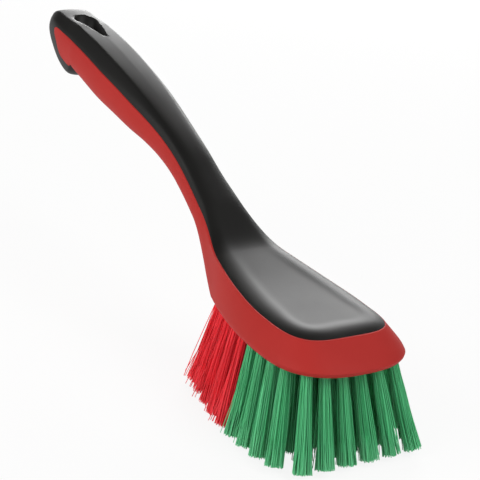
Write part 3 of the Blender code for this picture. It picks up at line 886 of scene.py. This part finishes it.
def teardrop(growth):
    """A closed prism over the hole's outline: two circles and the two lines that touch both."""
    middle = HOLE_FROM_END - HANDLE_REACH
    turn = acos((HOLE_RADIUS - HOLE_POINT_RADIUS) / HOLE_RUN)
    low = HANDLE_RISE - 2 * END_DEPTH - OVERRUN
    high = HANDLE_RISE + END_DEPTH + OVERRUN
    centre = PLACE + Vector((middle, 0, low))
    point = PLACE + Vector((middle + HOLE_RUN, 0, low))
    shape = bmesh.new()
    first = shape.verts.new(centre)
    first.co.x = PLACE.x + middle + (HOLE_RADIUS + growth) * cos(turn)
    first.co.y = (HOLE_RADIUS + growth) * sin(turn)
    arc = bmesh.ops.spin(
        shape, geom=[first], cent=centre, axis=(0, 0, 1), angle=2 * pi - 2 * turn, steps=HOLE_STEPS,
    )["geom_last"]
    ends = [item for item in arc if isinstance(item, bmesh.types.BMVert)]
    corner = bmesh.ops.extrude_vert_indiv(shape, verts=ends)["verts"][0]
    corner.co = point + Vector((cos(-turn), sin(-turn), 0)) * (HOLE_POINT_RADIUS + growth)
    bmesh.ops.spin(shape, geom=[corner], cent=point, axis=(0, 0, 1), angle=2 * turn, steps=POINT_STEPS)
    bmesh.ops.contextual_create(shape, geom=shape.verts[:] + shape.edges[:])
    lifted = bmesh.ops.extrude_face_region(shape, geom=shape.faces[:])["geom"]
    upper = [item for item in lifted if isinstance(item, bmesh.types.BMVert)]
    bmesh.ops.translate(shape, verts=upper, vec=(0, 0, high - low))
    bmesh.ops.recalc_face_normals(shape, faces=shape.faces[:])
    return shape


sample = teardrop(0)
print("sides of the hole:", len(sample.faces) - 2)
sample.free()


# %% Boolean helper
def combine(thing, other, operation):
    """Cut, join or trim one object with another, and keep only the result."""
    step = thing.modifiers.new(other.name, "BOOLEAN")
    step.operation = operation
    step.object = other
    step.solver = "EXACT"
    result = bpy.data.meshes.new_from_object(thing.evaluated_get(bpy.context.evaluated_depsgraph_get()))
    thing.modifiers.clear()
    thing.data = result
    bpy.data.objects.remove(other)


# %% Core, grip and hanging hole
LINER_WALL = 0.0015
LINER_RECESS = 0.0006

bound = body.copy()
bound.normal_update()
for vertex in bound.verts:
    vertex.co = vertex.co - vertex.normal * LINER_RECESS
liner = add_object("liner", teardrop(LINER_WALL))
combine(liner, add_object("liner_bound", bound), "INTERSECT")
block = add_object("moulded_block", body)
combine(block, add_object("rebate_cutter", cutter), "DIFFERENCE")
combine(block, add_object("liner_hole", teardrop(LINER_WALL + GAP)), "DIFFERENCE")
grip = add_object("moulded_grip", skin)
combine(grip, liner, "UNION")
combine(grip, add_object("hanging_hole", teardrop(0)), "DIFFERENCE")
print("block faces:", len(block.data.polygons), "grip faces:", len(grip.data.polygons))

# %% [markdown]
# ## Places of the tufts
# The tufts stand in ten rows across the head. Each leans a little forward and fans out to both sides,
# so the brush reaches past its block on every side. The filaments are all cut to one length, and so
# the tips form a gentle dome.

# %% Rows of tufts
ROW_PITCH = 0.0089
FIRST_ROW = -0.0365
ROW_COUNTS = (4, 4, 5, 5, 6, 6, 6, 6, 6, 6)
CRIMSON_ROWS = 5
EDGE_LAND = 0.0054
TUFT_RADIUS = 0.0025
FORWARD_LEAN_SHARE = 0.07
LENGTHWISE_FAN_RADIUS = 0.1615
SIDEWAYS_FAN_RADIUS = 0.1380


def tuft_roots():
    """Where each tuft leaves the underside, with its row."""
    places = []
    for number, count in enumerate(ROW_COUNTS):
        x = FIRST_ROW + number * ROW_PITCH
        if x < BASE_CENTRE:
            span = base_half_width(x) - EDGE_LAND
        else:
            forward = (x - BASE_CENTRE) / (BASE_FRONT_RUN - EDGE_LAND)
            span = (BASE_HALF_WIDTH - EDGE_LAND) * superellipse(forward, BASE_SQUARENESS)
        for place in range(count):
            places.append((number, Vector((x, span * (2 * place / (count - 1) - 1), 0))))
    return places


def tuft_frame(root):
    """Local axes at a tuft's root, with +Z up its blind hole and the filaments along -Z."""
    x = FORWARD_LEAN_SHARE + root.x / LENGTHWISE_FAN_RADIUS
    y = root.y / SIDEWAYS_FAN_RADIUS
    upward = Vector((-x, -y, sqrt(1 - x**2 - y**2)))
    across = upward.cross(Vector((1, 0, 0))).normalized()
    along = across.cross(upward)
    return Matrix.LocRotScale(root + PLACE, Matrix((along, across, upward)).transposed(), None)


roots = tuft_roots()
print("tufts:", len(roots))

# %% [markdown]
# ## Drilled holes
# The block is moulded whole and the holes are drilled into it, so they are plain round blind holes
# along the lean of each tuft. One Boolean with all the drills together cuts them.

# %% Holes for the tufts
ROOT_DEPTH = 0.0080
DRILL_SIDES = 20
halfway = Matrix.Translation((0, 0, (ROOT_DEPTH - OVERRUN) / 2))
drills = bmesh.new()
for _, root in roots:
    bmesh.ops.create_cone(
        drills, cap_ends=True, segments=DRILL_SIDES, depth=ROOT_DEPTH + OVERRUN,
        radius1=TUFT_RADIUS + GAP, radius2=TUFT_RADIUS + GAP, matrix=tuft_frame(root) @ halfway,
    )
combine(block, add_object("drills", drills), "DIFFERENCE")
print("block faces with its holes:", len(block.data.polygons))

# %% [markdown]
# ## Finish of the block
# The block is polypropylene, a strong and slightly waxy plastic, dyed through. A mould with a fine
# eroded texture leaves it satin. Up close its colour wavers a little where the dye is mixed unevenly,
# and handling polishes small patches, which the roughness shows. The grain of such a mould is a tenth
# of a millimetre or finer, and is drawn about half a millimetre wide, so that it can show.

# %% Moulded plastic
MOULDED_IOR = 1.49
CLOUDS_PER_METRE = 28  # one to about 36 mm
CLOUD_DETAIL = 3
CLOUD_ROUGHNESS = 0.55
GRAIN_DETAIL = 2
GRAIN_STRENGTH = 0.35
GRAIN_DEPTH = 0.00002
POLISHED_BY = 0.05
DULLED_BY = 0.06


def moulded_plastic(name, colour, darker, roughness, level, grain):
    """A dyed, satin moulding: two close colours in soft clouds, and an eroded texture as bump."""
    surface, tree, output = new_material(name)
    place = add(tree, "ShaderNodeTexCoord").outputs["Object"]
    clouds = add(
        tree, "ShaderNodeTexNoise",
        {"Scale": CLOUDS_PER_METRE, "Detail": CLOUD_DETAIL, "Roughness": CLOUD_ROUGHNESS},
        Vector=place,
    ).outputs["Fac"]
    tint = add(
        tree, "ShaderNodeMix", {"data_type": "RGBA", 6: linear(darker), 7: linear(colour)}, Factor=clouds
    )
    texture = add(
        tree, "ShaderNodeTexNoise", {"Scale": 1 / grain, "Detail": GRAIN_DETAIL}, Vector=place
    ).outputs["Fac"]
    bump = add(
        tree, "ShaderNodeBump", {"Strength": GRAIN_STRENGTH, "Distance": GRAIN_DEPTH}, Height=texture
    )
    gloss = add(
        tree, "ShaderNodeMapRange",
        {"To Min": roughness - POLISHED_BY, "To Max": roughness + DULLED_BY},
        Value=clouds,
    )
    shader = add(
        tree, "ShaderNodeBsdfPrincipled", {"IOR": MOULDED_IOR, "Specular IOR Level": level},
        **{"Base Color": tint.outputs[2], "Roughness": gloss.outputs[0], "Normal": bump.outputs[0]},
    )
    tree.links.new(shader.outputs[0], output.inputs["Surface"])
    return surface


def give_finish(thing, surface):
    """Let one material cover the whole object."""
    thing.data.materials.clear()
    thing.data.materials.append(surface)


print("clouds in the dye are about", round(1000 / CLOUDS_PER_METRE), "mm wide")

# %% Red polypropylene
RED_GRAIN = 0.0005
RED_ROUGHNESS = 0.58
RED_SPECULAR = 0.15

red_plastic = moulded_plastic(
    "moulded_polypropylene_red", "#B7312C", "#AA2A26", RED_ROUGHNESS, RED_SPECULAR, RED_GRAIN
)
give_finish(block, red_plastic)
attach(block, "root")
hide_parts("block_core")
print("block is finished in", red_plastic.name)

# %% [markdown]
# ## Finish of the grip
# The grip is a thermoplastic elastomer, black and matt, with a finer texture than the block. Every
# surface mirrors more at a flat angle, so its pad looks grey against the light behind it, while its
# neck, which faces the camera, stays near black. A near-black base with a moderate gloss gives both.

# %% Black elastomer
BLACK_GRAIN = 0.0004
BLACK_ROUGHNESS = 0.46
BLACK_SPECULAR = 0.27

black_grip = moulded_plastic(
    "moulded_elastomer_black", "#100F0D", "#0C0B0A", BLACK_ROUGHNESS, BLACK_SPECULAR, BLACK_GRAIN
)
give_finish(grip, black_grip)
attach(grip, "root")
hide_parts("soft_grip")
print("grip is finished in", black_grip.name)

# %% [markdown]
# ## One tuft
# A tuft is 150 stiff filaments, about 0.4 mm thick, that leave one hole close together and spread
# towards their tips. A sunflower's pattern fills the round evenly. Each filament is a four-sided prism
# of three lengths, with its own small bend, length and tone. Its lower end is extruded and moved, for
# all filaments of a tuft in one call, because one call for each would take minutes. Four sides are
# enough for something that is one pixel wide. At the rear of the head some have worked loose.

# %% Path of one filament
FILAMENTS = 150
FILAMENT_RADIUS = 0.00019
GOLDEN_ANGLE = pi * (3 - sqrt(5))
ANGLE_JITTER = 0.2
TIP_SPREAD_SHARE = 1.82
STRAY = 0.0006
BEND = 0.0008
TRIM_SPREAD = 0.0010
LOOSE_REACH = 0.0045
LOOSE_LEAST = 0.2
LOOSE_SIDEWAYS = 0.5


def strand_path(number, chance, loose, frame_here):
    """Foot, tip, bend, length and tone of one filament, in the tuft's own axes."""
    angle = number * GOLDEN_ANGLE + chance.uniform(-ANGLE_JITTER, ANGLE_JITTER)
    away = sqrt((number + 0.5) / FILAMENTS)
    foot = Vector((cos(angle), sin(angle), 0)) * away * (TUFT_RADIUS - FILAMENT_RADIUS)
    stray = Vector((chance.uniform(-1, 1), chance.uniform(-1, 1), 0)) * STRAY
    if foot.x < 0 and chance.random() < loose:
        backward = -chance.uniform(LOOSE_LEAST, 1)
        stray += Vector((backward, chance.uniform(-LOOSE_SIDEWAYS, LOOSE_SIDEWAYS), 0)) * LOOSE_REACH
    tip = foot * TIP_SPREAD_SHARE + stray
    bend = Vector((chance.uniform(-1, 1), chance.uniform(-1, 1), 0)) * BEND
    length = FILAMENT_LENGTH - chance.uniform(0, TRIM_SPREAD)
    top = (frame_here @ foot).z
    below = (frame_here @ Vector((tip.x, tip.y, -length))).z
    return foot, tip, bend, length * min(1, top / (top - below)), chance.random()


print("filaments are", 2000 * FILAMENT_RADIUS, "mm thick and up to", 1000 * FILAMENT_LENGTH, "mm long")

# %% Mesh of one tuft
STRAND_SIDES = 4
STUB = 0.0020
LIFTS = (0.36, 0.70, 1.0)
FLARE = 1.5
STRAND_SHARP_TURN = pi / 2.5


def filament_tuft(name, root, seed, loose):
    """All filaments of one tuft as one mesh, with a tone for each, some of them gone loose backwards."""
    chance = random.Random(seed)
    frame_here = tuft_frame(root)
    shape = bmesh.new()
    tone = shape.verts.layers.float.new("tone")
    strand = shape.faces.layers.int.new("strand")
    paths = [strand_path(number, chance, loose, frame_here) for number in range(FILAMENTS)]
    for number, (foot, _, _, _, shade) in enumerate(paths):
        middle = Matrix.Translation(foot + Vector((0, 0, STUB / 2)))
        made = bmesh.ops.create_cone(
            shape, cap_ends=True, segments=STRAND_SIDES, depth=STUB,
            radius1=FILAMENT_RADIUS, radius2=FILAMENT_RADIUS,
            matrix=middle @ Matrix.Rotation(chance.uniform(0, pi), 4, "Z"),
        )["verts"]
        for vertex in made:
            vertex[tone] = shade
        sides = [face for vertex in made for face in vertex.link_faces]
        lower = min(sides, key=lambda face: face.calc_center_median().z)
        lower[strand] = number + 1
    ends = [face for face in shape.faces if face[strand] > 0]
    for step, share in enumerate(LIFTS):
        if step > 0:
            ends = bmesh.ops.extrude_discrete_faces(shape, faces=ends)["faces"]
        for face in ends:
            foot, tip, bend, length, _ = paths[face[strand] - 1]
            goal = mix(foot, tip, share**FLARE) + bend * sin(pi * share) - Vector((0, 0, length * share))
            shift = goal - face.calc_center_median()
            for vertex in face.verts:
                vertex.co += shift
    shape.transform(frame_here)
    low, high = cad_bounds
    for vertex in shape.verts:  # a stray tip stays inside the box of the CAD model
        vertex.co = [min(max(value, least), most) for value, least, most in zip(vertex.co, low, high)]
    bmesh.ops.recalc_face_normals(shape, faces=shape.faces[:])
    return add_object(name, shape, sharp=STRAND_SHARP_TURN)


print("faces in a tuft:", FILAMENTS * (STRAND_SIDES * len(LIFTS) + 2))

# %% [markdown]
# ## Finish of the filaments
# The filaments are drawn polyester, dyed through and satin, with slight differences from one to the
# next. Deep between the tufts little light gets in, which the shadows do by themselves. Towards the
# cut ends they are a little paler, because light enters there. Their gloss changes from one
# millimetre to the next, as drawing leaves it.

# %% Polyester filament
POLYESTER_IOR = 1.57
POLYESTER_SPECULAR = 0.35
POLYESTER_ROUGHNESS = (0.42, 0.56)
PALE_HEIGHT = 0.014
PALE_SHARE = 0.35
PATCHES_PER_METRE = 900  # one to about 1.1 mm


def drawn_polyester(name, colour, darker, paler):
    """Dyed filament: each has its own tone, its tip is paler, and its gloss varies along it."""
    surface, tree, output = new_material(name)
    tone = add(tree, "ShaderNodeAttribute", {"attribute_name": "tone"}).outputs["Fac"]
    body_tint = add(
        tree, "ShaderNodeMix", {"data_type": "RGBA", 6: linear(darker), 7: linear(colour)}, Factor=tone
    )
    place = add(tree, "ShaderNodeTexCoord").outputs["Object"]
    height = add(tree, "ShaderNodeSeparateXYZ", None, Vector=place).outputs["Z"]
    near_tip = add(
        tree, "ShaderNodeMapRange",
        {"From Min": 0.0, "From Max": PALE_HEIGHT, "To Min": PALE_SHARE, "To Max": 0.0},
        Value=height,
    )
    tint = add(
        tree, "ShaderNodeMix", {"data_type": "RGBA", 7: linear(paler)},
        Factor=near_tip.outputs[0], i6=body_tint.outputs[2],
    )
    patches = add(tree, "ShaderNodeTexNoise", {"Scale": PATCHES_PER_METRE, "Detail": 1}, Vector=place)
    least, most = POLYESTER_ROUGHNESS
    gloss = add(
        tree, "ShaderNodeMapRange", {"To Min": least, "To Max": most}, Value=patches.outputs["Fac"]
    )
    shader = add(
        tree, "ShaderNodeBsdfPrincipled",
        {"IOR": POLYESTER_IOR, "Specular IOR Level": POLYESTER_SPECULAR},
        **{"Base Color": tint.outputs[2], "Roughness": gloss.outputs[0]},
    )
    tree.links.new(shader.outputs[0], output.inputs["Surface"])
    return surface


POLYESTERS = {
    "crimson": drawn_polyester("drawn_polyester_crimson", "#FF3240", "#F02834", "#FF5A64"),
    "green": drawn_polyester("drawn_polyester_green", "#5ECC8C", "#46B274", "#8EE0AE"),
}
print("filament finishes:", [surface.name for surface in POLYESTERS.values()])

# %% [markdown]
# ## All tufts
# Each tuft is made from its own seed, so that no two are alike and each run gives the same brush. In
# the rearmost row three in ten of the filaments at the back are loose, and few in the others.

# %% All tufts
SEED_STEP = 100
LOOSE_SHARES = (0.30, 0.08)
counts = {"crimson": 0, "green": 0}
faces = 0
for number, root in roots:
    colour = "crimson" if number < CRIMSON_ROWS else "green"
    counts[colour] += 1
    count = counts[colour]
    loose = LOOSE_SHARES[min(number, 1)]
    tuft = filament_tuft(f"{colour}_filaments_{count:02d}", root, SEED_STEP * number + count, loose)
    tuft.data.materials.append(POLYESTERS[colour])
    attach(tuft, "root")
    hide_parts(f"{colour}_tuft_{count:02d}")
    faces += len(tuft.data.polygons)
print("tufts made:", counts, "faces:", faces)

# %% [markdown]
# ## Sizes and the end
# The dressed brush must stay inside the box of the CAD model, and that box is printed.

# %% Finish
print("CAD box:", cad_bounds)
